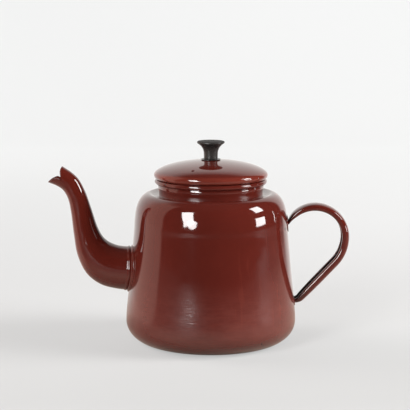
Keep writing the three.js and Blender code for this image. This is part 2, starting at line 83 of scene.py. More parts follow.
BASE_LAP = 6.5

# The spout: its root on the wall and the stations of its back and front edge
ROOT_HEIGHT = 64.8
ROOT_REACH = 70.63
ROOT_RADIUS = 19.4
SPOUT_RUN = 72.4
SPOUT_RISE = 91.0
SPOUT_STATIONS = [
    ((0.13, 0.222), (0.18, -0.199), 0.93),
    ((0.205, 0.238), (0.37, -0.158), 0.87),
    ((0.276, 0.266), (0.54, -0.055), 0.86),
    ((0.34, 0.312), (0.655, 0.13), 0.94),
    ((0.402, 0.402), (0.698, 0.34), 1.02),
    ((0.479, 0.59), (0.729, 0.56), 1.01),
    ((0.549, 0.752), (0.764, 0.69), 1.06),
    ((0.629, 0.874), (0.822, 0.77), 0.92),
    ((0.708, 0.938), (0.9, 0.813), 0.88),
    ((0.822, 1.0), (1.0, 0.845), 0.85),
]
EAR = ((0.822, 1.0), (0.862, 0.952), (0.818, 0.868))
LIP = ((0.845, 0.893), (0.91, 0.905), (1.0, 0.845))
BEYOND_BEAK = 40
SPOUT_CLEARANCE = 1.35
ROOT_BEAD_AWAY = 3.0
ROOT_BEAD_SPREAD = 1.4
ROOT_BEAD_SWELL = 0.6
BEAK_BULGE = 0.45
COLLAR_SECTION = [(-1.2, 0.3), (-1.1, 1.3), (0.1, 1.45), (0.7, 1.35), (1.15, 0.95), (1.5, 0.45), (1.75, -0.4),
                  (-1.2, -0.4)]

# The handle: a bow that opens out, a straight run and the two tabs on the wall
BOW_RADIUS = 26.8
LOWER_BOW_RADIUS = 33.6
BOW_CENTRE = (92.0, 93.4)
UPPER_JOINT = 105.4
LOWER_JOINT = 36.0
LOWER_BEND = 3.2
HANDLE_WIDTH = 18.0
HANDLE_DEPTH = 7.0
HANDLE_SHEET = 0.9
HANDLE_WRAP = 148
HANDLE_DEPTHS = [0.26, 0.72, 0.87, 0.93, 0.94, 0.95, 0.98, 1, 1.02, 1.04, 1.05, 1.05, 1.04, 1, 0.9, 0.4]
HANDLE_WIDTHS = [0.78, 0.86, 0.95, 1, 1, 1, 1, 1, 1, 1, 1, 1, 0.97, 0.92, 0.84, 0.78]
TAB_WIDTH = 20.0
UPPER_TAB = 15.5
LOWER_TAB = 9.0
OUTER_POWER = 0.85
INNER_POWER = 0.5
LEAST_DEPTH = 0.35
LEAST_HOLLOW = 0.12
HANDLE_AIR = 0.1
# The dark sheet inside the handle's hollow, painted shade: how far in it sits and how thin it is
LINING_INSET = HANDLE_SHEET + 0.02
LINING_SHEET = 0.08
TAB_STEPS = [(0.0, 0.85), (0.4, 0.85), (0.75, 0.8), (0.9, 0.7), (0.97, 0.5), (1.0, 0.2), (1.0, -0.2), (0.0, -0.2)]

# The lid and the ring under it
LID_RADIUS = 50.1
LID_EDGE = 2.6
LID_EDGE_DROP = 3.4
LID_EDGE_HEIGHT = 148.8
LID_EDGE_TURN = -215
LID_RISE = 12.95
LID_CROWN_POWER = 1.9
LID_FALL_POWER = 0.55
VENT_DISTANCE = 39.0
VENT_TURN = -113.3
VENT_RADIUS = 1.4
HOLE_RADIUS = 2.3
FLANGE_RADIUS = 44.0
FLANGE_AIR = 0.6
FLANGE_BEND = 3
FLANGE_SEAT = 4
FLANGE_TAPER = 0.5
FLANGE_DROP = 11.5
TAPER_DROP = 8.5

# The knob, from its seat to its crown
KNOB_BOTTOM = 163.05
KNOB_HEIGHT = 15.3
KNOB_NECK = 6.1
KNOB_TOP = 12.1
KNOB_SEAT = 0.55
KNOB_SEAT_INSET = 0.3
KNOB_BORE = 9.3
KNOB_EDGE = 1.2
KNOB_EDGE_RISE = 1.15
KNOB_CROWN = 1.35
KNOB_CROWN_LINE = [(KNOB_TOP - 1.3, 1.16), (9, 1.25), (5, 1.32), (0, KNOB_CROWN)]
FLARE_SHORT = 2.35
FLARE_INSET = 0.6
FLARE_POWER = 3.8

# The screw, from its head up into the knob
HEAD_BOTTOM = 156.45
HEAD_HEIGHT = 2.4
HEAD_RADIUS = 4.4
HEAD_RIM = 4.3
SLOT = (10, 1.1, 2.2)
SHANK_RADIUS = 2.0
SHANK_TIP = 0.3
THREAD_ROOT = 1.78
THREAD_START = 0.6
THREAD_STEP = 0.38
THREAD_POINTS = 34

# The two flat rings: outer radius, bottom, height and rounding
KNOB_DISC = (8.6, 162.05, 0.4, 0.15)
SCREW_RING = (7.0, 159.15, 0.9, 0.2)


def even(start, end, count, endpoint=True):
    """Evenly spaced numbers."""
    return np.linspace(start, end, count, endpoint=endpoint).tolist()


def arc(x, z, across, up, start, end, steps):
    """Points on an ellipse about a centre, between two turns in degrees."""
    turns = [math.radians(t) for t in even(start, end, steps + 1)]
    return [(x + across * math.cos(t), z + up * math.sin(t)) for t in turns]


def joined(*lines):
    """One line from several, without the points that two of them share."""
    points = []
    for point in (p for line in lines for p in line):
        if not points or math.dist(points[-1], point) > 0.01:
            points.append(tuple(point))
    return points


def offset(line, distance):
    """The line moved to the left of its direction."""
    points = np.array(line, float)
    along = np.gradient(points, axis=0)
    along /= np.linalg.norm(along, axis=1)[:, None]
    return [tuple(p) for p in points + distance * np.stack([-along[:, 1], along[:, 0]], axis=1)]


def flowing(points, steps):
    """A smooth line through the points, evenly stepped between each two."""
    points = [Vector(p) for p in points]
    ends = [2 * points[0] - points[1], *points, 2 * points[-1] - points[-2]]
    line = []
    for a, b, c, d in zip(ends, ends[1:], ends[2:], ends[3:]):
        for step in range(steps):
            t = step / steps
            line.append(0.5 * (2 * b + (c - a) * t + (2 * a - 5 * b + 4 * c - d) * t * t
                               + (3 * b - a - 3 * c + d) * t ** 3))
    return [tuple(p) for p in line] + [tuple(points[-1])]


def share_at(shares, along):
    """The value at a share of the length of evenly spaced values."""
    return float(np.interp(along * (len(shares) - 1), range(len(shares)), shares))


def piece_from(name, rows, closed_rows=False, closed_columns=True):
    """A piece whose surface is a grid of points in millimetres; rows that shrink to one point are welded."""
    mesh = bmesh.new()
    grid = [[mesh.verts.new(Vector(p) * MM) for p in row] for row in rows]
    count = len(rows[0])
    pairs = list(zip(grid, grid[1:] + grid[:1]))
    for here, there in pairs if closed_rows else pairs[:-1]:
        for k in range(count if closed_columns else count - 1):
            beside = (k + 1) % count
            mesh.faces.new((here[k], here[beside], there[beside], there[k]))
    bmesh.ops.remove_doubles(mesh, verts=mesh.verts, dist=WELD_WITHIN)
    bmesh.ops.dissolve_degenerate(mesh, edges=mesh.edges, dist=TOO_SHORT)
    bmesh.ops.recalc_face_normals(mesh, faces=mesh.faces)
    return finished(name, mesh)


def finished(name, mesh):
    """The mesh as a smooth object with its hard edges kept."""
    data = bpy.data.meshes.new(name)
    mesh.to_mesh(data)
    mesh.free()
    for face in data.polygons:
        face.use_smooth = True
    data.set_sharp_from_angle(angle=math.radians(SKIN_CREASE))
    piece = bpy.data.objects.new(name, data)
    bpy.context.collection.objects.link(piece)
    return piece


def turned(name, outline, sides=192):
    """A piece turned about the pot's axis from its outline of radius and height."""
    turns = even(0, 2 * math.pi, sides, endpoint=False)
    rows = [[(r * math.cos(t), r * math.sin(t), z) for t in turns] for r, z in outline]
    return piece_from(name, rows, closed_rows=outline[0][0] > 0.001 or outline[-1][0] > 0.001)


def pierced(piece, cutter):
    """The piece with the cutter's volume taken away."""
    cut = piece.modifiers.new("cut", "BOOLEAN")
    cut.operation = "DIFFERENCE"
    cut.object = cutter
    cut.solver = "EXACT"
    bpy.context.view_layer.update()
    shaped = bpy.data.meshes.new_from_object(piece.evaluated_get(bpy.context.evaluated_depsgraph_get()))
    piece.modifiers.clear()
    piece.data = shaped
    shaped.set_sharp_from_angle(angle=math.radians(CUT_CREASE))
    bpy.data.objects.remove(cutter)
    return piece


def rods(name, places, axis, radius):
    """Round cutters, all along one axis, centred on the places."""
    mesh = bmesh.new()
    turn = Vector((0, 0, 1)).rotation_difference(Vector(axis)).to_matrix().to_4x4()
    for place in places:
        bmesh.ops.create_cone(mesh, cap_ends=True, segments=ROD_SIDES, radius1=radius * MM, radius2=radius * MM,
                              depth=ROD_LENGTH * MM, matrix=Matrix.Translation(Vector(place) * MM) @ turn)
    return finished(name, mesh)


def shoulder_radius(height):
    rise = (height - WALL_TOP_HEIGHT) / (CREST_HEIGHT - WALL_TOP_HEIGHT)
    return CREST_RADIUS + (WALL_TOP_RADIUS - CREST_RADIUS) * math.sqrt(max(1 - rise ** 2, 0))


def wall_table():
    """Heights and radii of the wall, summed up from how far it leans in at each height, in degrees."""
    heights = np.linspace(CORNER_HEIGHT, SHOULDER_START, 190)
    slopes = np.tan(np.radians(np.interp(heights, *zip(*WALL_LEANS))))
    drawn = np.concatenate([[0], np.cumsum((slopes[1:] + slopes[:-1]) / 2 * np.diff(heights))])
    drawn *= (BELLY_RADIUS - shoulder_radius(SHOULDER_START)) / drawn[-1]
    return heights, BELLY_RADIUS - drawn


WALL_TABLE = wall_table()


def wall_radius(height):
    if height > SHOULDER_START:
        return shoulder_radius(height)
    return float(np.interp(height, *WALL_TABLE))


def on_wall(across, height, standoff):
    """The point of the wall's side at a place across and up, standing off its face."""
    radius = wall_radius(height) + standoff
    return math.sqrt(max(radius ** 2 - across ** 2, 0))


def pot_line():
    """The outer outline of the wall, from the foot's lip up to the groove below the rim."""
    corner = arc(FOOT_RADIUS, CORNER_HEIGHT, BELLY_RADIUS - FOOT_RADIUS, CORNER_HEIGHT, -90, 0, 28)
    wall = [(wall_radius(z), z) for z in even(CORNER_HEIGHT, SHOULDER_START, 96)]
    rise = CREST_HEIGHT - WALL_TOP_HEIGHT
    start = math.degrees(math.asin((SHOULDER_START - WALL_TOP_HEIGHT) / rise))
    shoulder = arc(CREST_RADIUS, WALL_TOP_HEIGHT, WALL_TOP_RADIUS - CREST_RADIUS, rise, start, 90, 40)
    neck = flowing(NECK_LINE, 6)
    return joined([(FOOT_RADIUS - FOOT_LIP, 0)], corner, wall, shoulder, neck)


def spout_root():
    """The frame of the spout's root: out of the wall, across, and up along the wall."""
    lean = math.atan2(BELLY_RADIUS - WALL_TOP_RADIUS, WALL_TOP_HEIGHT - CORNER_HEIGHT)
    out = Vector((-math.cos(lean), 0, math.sin(lean)))
    up = Vector((math.sin(lean), 0, math.cos(lean)))
    return Vector((-ROOT_REACH, 0, ROOT_HEIGHT)), out, Vector((0, -1, 0)), up


def make_pot_body():
    """The wall with its rolled rim and the strainer's holes behind the spout."""
    outer = pot_line()
    inner = offset(outer, SHEET)[::-1]
    bead = arc(BEAD_CENTRE, RIM_HEIGHT - RIM_BEAD, RIM_BEAD, RIM_BEAD, -80, 180, 26)
    body = turned("pot_body", joined(outer, bead, inner))
    place, out, across, up = spout_root()
    holes = [place]
    for ring in STRAINER_RINGS:
        for k in range(6 * ring):
            turn = 2 * math.pi * k / (6 * ring)
            holes.append(place + ring * STRAINER_PITCH * (math.cos(turn) * across + math.sin(turn) * up))
    return pierced(body, rods("strainer", holes, out, STRAINER_HOLE))


def make_pot_base():
    """The bottom, with a pressed ring and a step up where it laps the foot."""
    lap = FOOT_RADIUS - FOOT_LIP - BASE_GAP
    ring = flowing(BASE_RING, 6)
    joggle = flowing([(lap - BASE_JOGGLE, 0), (lap - BASE_JOGGLE / 2, BASE_JOGGLE / 2), (lap, BASE_JOGGLE)], 4)
    outer = joined([(0, 0)], ring, joggle, [(lap + BASE_LAP, BASE_JOGGLE)])
    inner = [(r, z + SHEET) for r, z in outer][::-1]
    return turned("pot_base", outer + inner, 128)


def spout_place(shares):
    run, rise = shares
    return Vector((-ROOT_REACH - run * SPOUT_RUN, 0, ROOT_HEIGHT + rise * SPOUT_RISE))


def spout_edge(side, root_up):
    """The points of the spout's back or front edge, from inside the wall to the beak."""
    place, out, _, up = spout_root()
    root = [place + out * away + up * root_up for away in (-10, 0)]
    return root + [spout_place(station[side]) for station in SPOUT_STATIONS]


def bend_point(points, along):
    """A point at a share of a centripetal curve through the points."""
    place = along * (len(points) - 1)
    i = min(int(place), len(points) - 2)
    t = place - i
    b, c = points[i], points[i + 1]
    a = points[i - 1] if i > 0 else 2 * b - c
    d = points[i + 2] if i + 2 < len(points) else 2 * c - b
    before, between, after = ((q - p).length ** 0.5 for p, q in ((a, b), (b, c), (c, d)))
    leave = ((b - a) / before - (c - a) / (before + between) + (c - b) / between) * between
    arrive = ((c - b) / between - (d - b) / (between + after) + (d - c) / after) * between
    return (b + leave * t + (3 * (c - b) - 2 * leave - arrive) * t ** 2
            + (2 * (b - c) + leave + arrive) * t ** 3)


def spout_surface(along, turn, inset, back, front, widths):
    """The point of the spout's oval section at a share of its length and a turn about it."""
    top, bottom = bend_point(back, along), bend_point(front, along)
    half = (top - bottom) / 2
    depth = half.length
    centre = bottom + half
    point = centre + half * ((depth - inset) / depth) * math.cos(turn)
    point.y = (depth * share_at(widths, along) - inset) * math.sin(turn)
    return point


def beak_outline():
    """The beak's edge in side view with what lies beyond it, as one polygon."""
    def bowed(tips):
        a, b, c = (spout_place(tip) for tip in tips)
        return [(1 - t) ** 2 * a + 2 * t * (1 - t) * b + t * t * c for t in even(0, 1, 24)]
    edge = [(p.x, p.z) for p in bowed(EAR) + bowed(LIP)]
    (first_x, first_z), (last_x, last_z) = edge[0], edge[-1]
    return edge + [(last_x - BEYOND_BEAK, last_z), (last_x - BEYOND_BEAK, first_z + BEYOND_BEAK),
                   (first_x, first_z + BEYOND_BEAK)]


def inside(polygon, x, z):
    """Whether a point lies in the polygon."""
    within = False
    for (x1, z1), (x2, z2) in zip(polygon, polygon[1:] + polygon[:1]):
        if (z1 > z) != (z2 > z) and x < (x2 - x1) * (z - z1) / (z2 - z1) + x1:
            within = not within
    return within


def last_before(test, low, high, steps):
    """The share at which the test first turns true, found by steps and halving."""
    shares = even(low, high, steps)
    for before, after in zip(shares, shares[1:]):
        if test(after):
            for _ in range(HALVINGS):
                middle = (before + after) / 2
                before, after = (before, middle) if test(middle) else (middle, after)
            return before
    return high


def make_spout():
    """The spout's skin, one column of points at a time from the wall to the beak's edge, and back inside."""
    back, front = spout_edge(0, ROOT_RADIUS), spout_edge(1, -ROOT_RADIUS)
    widths = [1, 1] + [station[2] for station in SPOUT_STATIONS]
    beyond = beak_outline()
    columns = []
    for turn in even(0, 2 * math.pi, ROUND_COLUMNS, endpoint=False):
        def place(along, inset=0.0):
            return spout_surface(along, turn, inset, back, front, widths)

        def clear_of_wall(along):
            point = place(along)
            return math.hypot(point.x, point.y) > wall_radius(point.z) + SPOUT_CLEARANCE

        start = last_before(clear_of_wall, 0.05, 0.4, 60)
        stop = last_before(lambda along: inside(beyond, place(along).x, place(along).z), 0.6, 1.0, 160)
        shares = even(0, 0.06, 16)[:-1] + even(0.06, 0.94, 74)[:-1] + even(0.94, 1, 14)
        near = [start + (stop - start) * share for share in shares]
        outer = []
        for along in near:
            point = place(along)
            away = math.hypot(point.x, point.y) - wall_radius(point.z)
            swell = max(0.0, 1 - ((away - ROOT_BEAD_AWAY) / ROOT_BEAD_SPREAD) ** 2)
            outer.append(place(along, -ROOT_BEAD_SWELL * swell))
        tip = place(stop)
        ahead = (tip - place(stop - 0.004)).normalized()
        inward = place(stop, SHEET) - tip
        edge = [tip + inward * (0.5 - 0.5 * math.cos(a)) + ahead * (BEAK_BULGE * math.sin(a))
                for a in map(math.radians, even(20, 160, 6))]
        inner = [place(along, SHEET) for along in near[::-1]]
        columns.append([tuple(p) for p in outer + edge + inner])
    rows = [list(row) for row in zip(*columns)]
    return piece_from("spout_skin", rows, closed_rows=True)


def make_spout_collar():
    """The bead that seats the spout on the wall."""
    place, out, across, up = spout_root()
    rows = []
    for width, standoff in COLLAR_SECTION:
        ring = []
        for turn in even(0, 2 * math.pi, ROUND_COLUMNS, endpoint=False):
            spread = (ROOT_RADIUS + width) * (math.cos(turn) * across + math.sin(turn) * up)
            point = place + spread
            reach = math.sqrt((wall_radius(point.z) + standoff) ** 2 - point.y ** 2)
            ring.append((-reach, point.y, point.z))
        rows.append(ring)
    return piece_from("spout_collar_bead", rows, closed_rows=True)


def handle_path():
    """Points of the handle's middle line in side view, from the upper joint to the lower one."""
    lower = Vector((wall_radius(LOWER_JOINT) + LOWER_BEND, LOWER_JOINT))
    bow = Vector(BOW_CENTRE)
    lower_centre = Vector((bow.x + BOW_RADIUS - LOWER_BOW_RADIUS, bow.y))
    first = math.pi - math.asin((UPPER_JOINT - bow.y) / BOW_RADIUS)
    to_lower = lower - lower_centre
    last = math.atan2(to_lower.y, to_lower.x) + math.acos(LOWER_BOW_RADIUS / to_lower.length)
    upper = [bow + BOW_RADIUS * Vector((math.cos(t), math.sin(t))) for t in even(first, 0, 80)]
    opening = [lower_centre + LOWER_BOW_RADIUS * Vector((math.cos(t), math.sin(t)))
               for t in even(0, last, 40)[1:]]
    leave = opening[-1]
    bend = lower.lerp(leave, LOWER_BEND / (leave - lower).length)
    end = Vector((lower.x - 2 * LOWER_BEND, lower.y))
    run = [leave.lerp(bend, t) for t in even(0, 1, 30)[1:]]
    turn_in = [(1 - t) ** 2 * bend + 2 * t * (1 - t) * lower + t * t * end for t in even(0, 1, 16)[1:]]
    return upper + opening + run + turn_in


def along_path(points, count):
    """The path again with even steps, each with its direction."""
    lengths = np.concatenate([[0], np.cumsum([(b - a).length for a, b in zip(points, points[1:])])])
    shares = even(0, 1, count)
    places = [share * lengths[-1] for share in shares]
    xs = np.interp(places, lengths, [p.x for p in points])
    zs = np.interp(places, lengths, [p.y for p in points])
    ways = zip(np.gradient(xs).tolist(), np.gradient(zs).tolist())
    spots = zip(xs.tolist(), zs.tolist())
    return [(share, Vector(spot), Vector(way).normalized()) for share, spot, way in zip(shares, spots, ways)]


def handle_section(depth, width, sheet):
    """The strip's C section, squarer on its inner half, with rounded lips: out of the bow, and across."""
    def squared(d, w, turns):
        line = []
        for c, s in ((math.cos(t), math.sin(t)) for t in map(math.radians, turns)):
            power = OUTER_POWER if c > 0 else INNER_POWER
            line.append((math.copysign(d * abs(c) ** power, c), math.copysign(w * abs(s) ** power, s)))
        return line

    def lip(start, end):
        middle, half = (Vector(start) + Vector(end)) / 2, (Vector(start) - Vector(end)) / 2
        bulge = Vector((-half.y, half.x))
        return [tuple(middle + half * math.cos(a) + bulge * math.sin(a)) for a in map(math.radians, (45, 90, 135))]

    outer = squared(depth, width, even(-HANDLE_WRAP, HANDLE_WRAP, 57))
    inner = squared(max(depth - sheet, LEAST_HOLLOW), width - sheet, even(HANDLE_WRAP, -HANDLE_WRAP, 49))
    return outer + lip(outer[-1], inner[0]) + inner + lip(inner[-1], outer[0])


def make_handle(name="handle_strip_skin", inset=0.0, sheet=HANDLE_SHEET):
    """The bent strip; with an inset, the thin dark sheet inside its hollow, which is painted shade."""
    rows = []
    for along, place, way in along_path(handle_path(), 190):
        depth = HANDLE_DEPTH * share_at(HANDLE_DEPTHS, along) / 2
        width = HANDLE_WIDTH * share_at(HANDLE_WIDTHS, along) / 2
        section = handle_section(max(depth - inset, LEAST_DEPTH), width - inset, sheet)
        rows.append([(place.x - way.y * out, -across, place.y + way.x * out) for out, across in section])
    rows = [[(max(x, on_wall(y, z, HANDLE_AIR)), y, z) for x, y, z in row] for row in rows]
    first, last = ([np.mean(row, axis=0)] * len(row) for row in (rows[0], rows[-1]))
    return piece_from(name, [first, *rows, last])


def make_handle_tab(name, height, tall):
    """A thin oval tab of the strip, dressed down on to the wall."""
    rows = []
    for share, standoff in TAB_STEPS:
        ring = []
        for turn in even(0, 2 * math.pi, 64, endpoint=False):
            across = TAB_WIDTH / 2 * share * math.cos(turn)
            z = height + tall / 2 * share * math.sin(turn)
            ring.append((on_wall(across, z, standoff), across, z))
        rows.append(ring)
    return piece_from(name, rows)


def dome_height(radius):
    """The height of the lid's top face at a radius."""
    return LID_EDGE_HEIGHT + LID_RISE * (1 - min(radius / LID_RADIUS, 1) ** LID_CROWN_POWER) ** LID_FALL_POWER


def make_lid():
    """The domed lid with its rolled edge, the hole for the screw and the steam vent."""
    def dome(to):
        last = math.asin(min(to / LID_RADIUS, 1))
        radii = [max(LID_RADIUS * math.sin(t), HOLE_RADIUS) for t in even(0, last, 80)]
        return joined([(r, dome_height(r)) for r in radii])
    centre = LID_RADIUS - LID_EDGE
    edge = arc(centre, LID_EDGE_HEIGHT, LID_EDGE, LID_EDGE_DROP, 0, LID_EDGE_TURN, 30)
    inner = offset(dome(centre - LID_EDGE), -SHEET)[::-1]
    lid = turned("lid_skin", joined(dome(LID_RADIUS), edge, inner))
    turn = math.radians(VENT_TURN)
    vent = (VENT_DISTANCE * math.cos(turn), VENT_DISTANCE * math.sin(turn), dome_height(VENT_DISTANCE))
    return pierced(lid, rods("vent", [vent], (0, 0, 1), VENT_RADIUS))


def make_lid_flange():
    """The ring under the lid that drops into the mouth."""
    def under(radius):
        return dome_height(radius) - SHEET - FLANGE_AIR
    start = FLANGE_RADIUS - FLANGE_BEND
    seat = start - FLANGE_SEAT
    lowest = [(FLANGE_RADIUS - FLANGE_TAPER, RIM_HEIGHT - FLANGE_DROP), (FLANGE_RADIUS, RIM_HEIGHT - TAPER_DROP)]
    line = joined(lowest,
                  arc(start, under(FLANGE_RADIUS) - FLANGE_BEND, FLANGE_BEND, FLANGE_BEND, 0, 65, 10),
                  [(start, under(start)), (seat, under(seat))])
    return turned("lid_flange_skin", line + offset(line, SHEET)[::-1], 160)


def make_knob():
    """The moulded knob: a flare with a rounded edge and a low crown, bored for the screw."""
    edge_height = KNOB_BOTTOM + KNOB_HEIGHT - KNOB_CROWN
    flare_height = KNOB_HEIGHT - FLARE_SHORT
    flare = [(KNOB_NECK + (KNOB_TOP - FLARE_INSET - KNOB_NECK) * t ** FLARE_POWER, KNOB_BOTTOM + flare_height * t)
             for t in even(0, 1, 40)]
    edge = arc(KNOB_TOP - KNOB_EDGE, edge_height, KNOB_EDGE, KNOB_EDGE_RISE, -60, 80, 16)
    crown = flowing([(radius, edge_height + rise) for radius, rise in KNOB_CROWN_LINE], 6)
    top = KNOB_BOTTOM + KNOB_BORE
    low = KNOB_BOTTOM - KNOB_SEAT
    return turned("knob_moulding", joined([(HOLE_RADIUS, low), (KNOB_NECK - KNOB_SEAT_INSET, low)], flare, edge,
                                          crown, [(0, top), (HOLE_RADIUS, top)]), 128)


def ring_outline(inner, outer, bottom, height, round_by):
    """The section of a flat ring with rounded outer corners."""
    low = arc(outer - round_by, bottom + round_by, round_by, round_by, -90, 0, 5)
    high = arc(outer - round_by, bottom + height - round_by, round_by, round_by, 0, 90, 5)
    return joined([(inner, bottom)], low, high, [(inner, bottom + height)])


def make_screw():
    """The screw: a round slotted head below, and a threaded shank that ends in the knob."""
    head_top = HEAD_BOTTOM + HEAD_HEIGHT
    head = arc(0, head_top, HEAD_RADIUS, HEAD_HEIGHT, -90, -6, 18)
    thread = [(SHANK_RADIUS if k % 2 else THREAD_ROOT, head_top + THREAD_START + k * THREAD_STEP)
              for k in range(THREAD_POINTS)]
    tip = [(0, thread[-1][1] + SHANK_TIP)]
    screw = turned("screw_turning", joined(head, [(HEAD_RIM, head_top), (SHANK_RADIUS, head_top)], thread, tip), 64)
    slot = bmesh.new()
    bmesh.ops.create_cube(slot, size=1, matrix=Matrix.Translation((0, 0, HEAD_BOTTOM * MM))
                          @ Matrix.Diagonal((*(side * MM for side in SLOT), 1)))
    return pierced(screw, finished("slot", slot))


class Signal:
    """A shader socket that stands in Python sums: each sum on values adds its Math node."""

    def __init__(self, recipe, socket):
        self.recipe = recipe
        self.socket = socket

    def __add__(self, other):
        return self.recipe.maths("ADD", self, other)

    def __sub__(self, other):
        return self.recipe.maths("SUBTRACT", self, other)

    def __rsub__(self, other):
        return self.recipe.maths("SUBTRACT", other, self)

    def __mul__(self, other):
        return self.recipe.maths("MULTIPLY", self, other)

    def __pow__(self, other):
        return self.recipe.maths("POWER", self, other)

    __radd__ = __add__
    __rmul__ = __mul__


class Recipe:
    """One finish: its material or world, and the nodes it is made of."""

    RAGGED = 0.35
    RAG_GRAIN = 900.0

    def __init__(self, name, holder=None):
        self.holder = holder or bpy.data.materials.new(name)
        self.holder.use_nodes = True
        self.tree = self.holder.node_tree
        self.tree.nodes.clear()

    def node(self, kind, settings=None, sockets=None, out=0):
        """Any node: its settings first, then the values or links of its sockets."""
        made = self.tree.nodes.new(kind)
        for key, value in (settings or {}).items():
            if key == "stops":
                ramp = made.color_ramp
                stops = [*ramp.elements, *(ramp.elements.new(1) for _ in value[2:])]
                for stop, (place, colour) in zip(stops, value):
                    stop.position, stop.color = place, colour
            else:
                setattr(made, key, value)
        for key, value in (sockets or {}).items():
            if isinstance(value, Signal):
                self.tree.links.new(value.socket, made.inputs[key])
            else:
                made.inputs[key].default_value = value
        return Signal(self, made.outputs[out]) if made.outputs else None

    def maths(self, operation, *values):
        """One Math node on values or signals."""
        return self.node("ShaderNodeMath", {"operation": operation}, dict(enumerate(values)))

    def mixed(self, share, first, second):
        """Two colours mixed."""
        return self.node("ShaderNodeMix", {"data_type": "RGBA"}, {0: share, 6: first, 7: second}, out=2)

    def place(self):
        """Where the point lies on the object, in metres."""
        return self.node("ShaderNodeTexCoord", out="Object")

    def along(self, axis, vector=None):
        """One coordinate of the point's place, or of another vector."""
        return self.node("ShaderNodeSeparateXYZ", sockets={0: vector or self.place()}, out=axis)

    def cloud(self, scale, detail=3.0, rough=0.55, stretch=(1, 1, 1)):
        """A soft uneven pattern, from 0 to 1."""
        at = self.node("ShaderNodeMapping", sockets={"Vector": self.place(), "Scale": stretch})
        return self.node("ShaderNodeTexNoise", sockets={"Vector": at, "Scale": scale, "Detail": detail,
                                                        "Roughness": rough})

    def eased(self, value, low, high):
        """The value spread smoothly from 0 at low to 1 at high."""
        return self.node("ShaderNodeMapRange", {"interpolation_type": "SMOOTHSTEP"},
                         {"Value": value, "From Min": low, "From Max": high})

    def spot(self, place, size):
        """A small patch round a place in metres, with a ragged edge: 1 inside and 0 outside."""
        away = self.node("ShaderNodeVectorMath", {"operation": "DISTANCE"},
                         {0: self.place(), 1: place}, out="Value")
        rag = (self.cloud(self.RAG_GRAIN, 2.0) - 0.5) * (2 * self.RAGGED * size)
        return self.eased(away + rag, size * 1.08, size * 0.86)

    def bumped(self, height, strength, distance):
        return self.node("ShaderNodeBump", sockets={"Height": height, "Strength": strength, "Distance": distance})

    def finish(self, **sockets):
        named = {key.replace("_", " "): value for key, value in sockets.items()}
        shader = self.node("ShaderNodeBsdfPrincipled", sockets=named)
        self.node("ShaderNodeOutputMaterial", sockets={"Surface": shader})
        return self.holder


MAROON = (0.068, 0.0084, 0.0052, 1)
MAROON_DEEP = (0.057, 0.0069, 0.0041, 1)
PALE_MAROON = (0.125, 0.022, 0.014, 1)
# Painted light: the pale haze of the low wall, for the floor's light on it, together with the milky look of the
# dulled glaze
HAZE_AND_FLOOR_LIGHT = (0.135, 0.036, 0.028, 1)
GROUND_COAT = (0.012, 0.010, 0.010, 1)
WORN_BROWN = (0.16, 0.075, 0.05, 1)
# Painted shade: the near-black browns of the sheet inside the handle's hollow
HOLLOW_SHADE_BROWN = (0.020, 0.006, 0.005, 1)
HOLLOW_SHADE_BLACK = (0.008, 0.004, 0.004, 1)
PLASTIC = (0.0125, 0.0115, 0.011, 1)
RUBBED_PLASTIC = (0.028, 0.025, 0.023, 1)
PLASTIC_TOP = (0.010, 0.0095, 0.009, 1)
STEEL = (0.56, 0.55, 0.53, 1)
STAINED_STEEL = (0.27, 0.22, 0.18, 1)
BLACK = (0, 0, 0, 1)

# Where a finish changes, in metres: nothing of it at the first number, all of it at the second
LOW_ZONE = (0.072, 0.034)
ABOVE_FOOT = (0.004, 0.020)
HANDLE_SIDE = (-0.01, 0.05)
RUNS_BELOW = (0.105, 0.085)
NECK_SLOPE_RADII = (0.0535, 0.0510)
NECK_SLOPE_BELOW = (0.1352, 0.1332)
PALE_EDGE_BELOW = (0.1526, 0.1508)
BARE_FOOT_BELOW = (0.0016, 0.0007)
BROWN_FOOT_BELOW = (0.0032, 0.0016)
KNOB_CROWN_ABOVE = (0.1770, 0.1779)

# How much of the ground coat darkens the whole of the pot's enamel
DARKENED = 0.11

# The chips that show on the pot: place and size, in metres
POT_CHIPS = [((-0.0489, -0.0070, 0.1432), 0.0012), ((-0.0391, -0.0302, 0.1437), 0.0010),
             ((0.0648, -0.0208, 0.1035), 0.0013), ((0.0430, -0.0586, 0.0102), 0.0009),
             ((0.0486, -0.0536, 0.0086), 0.0006)]


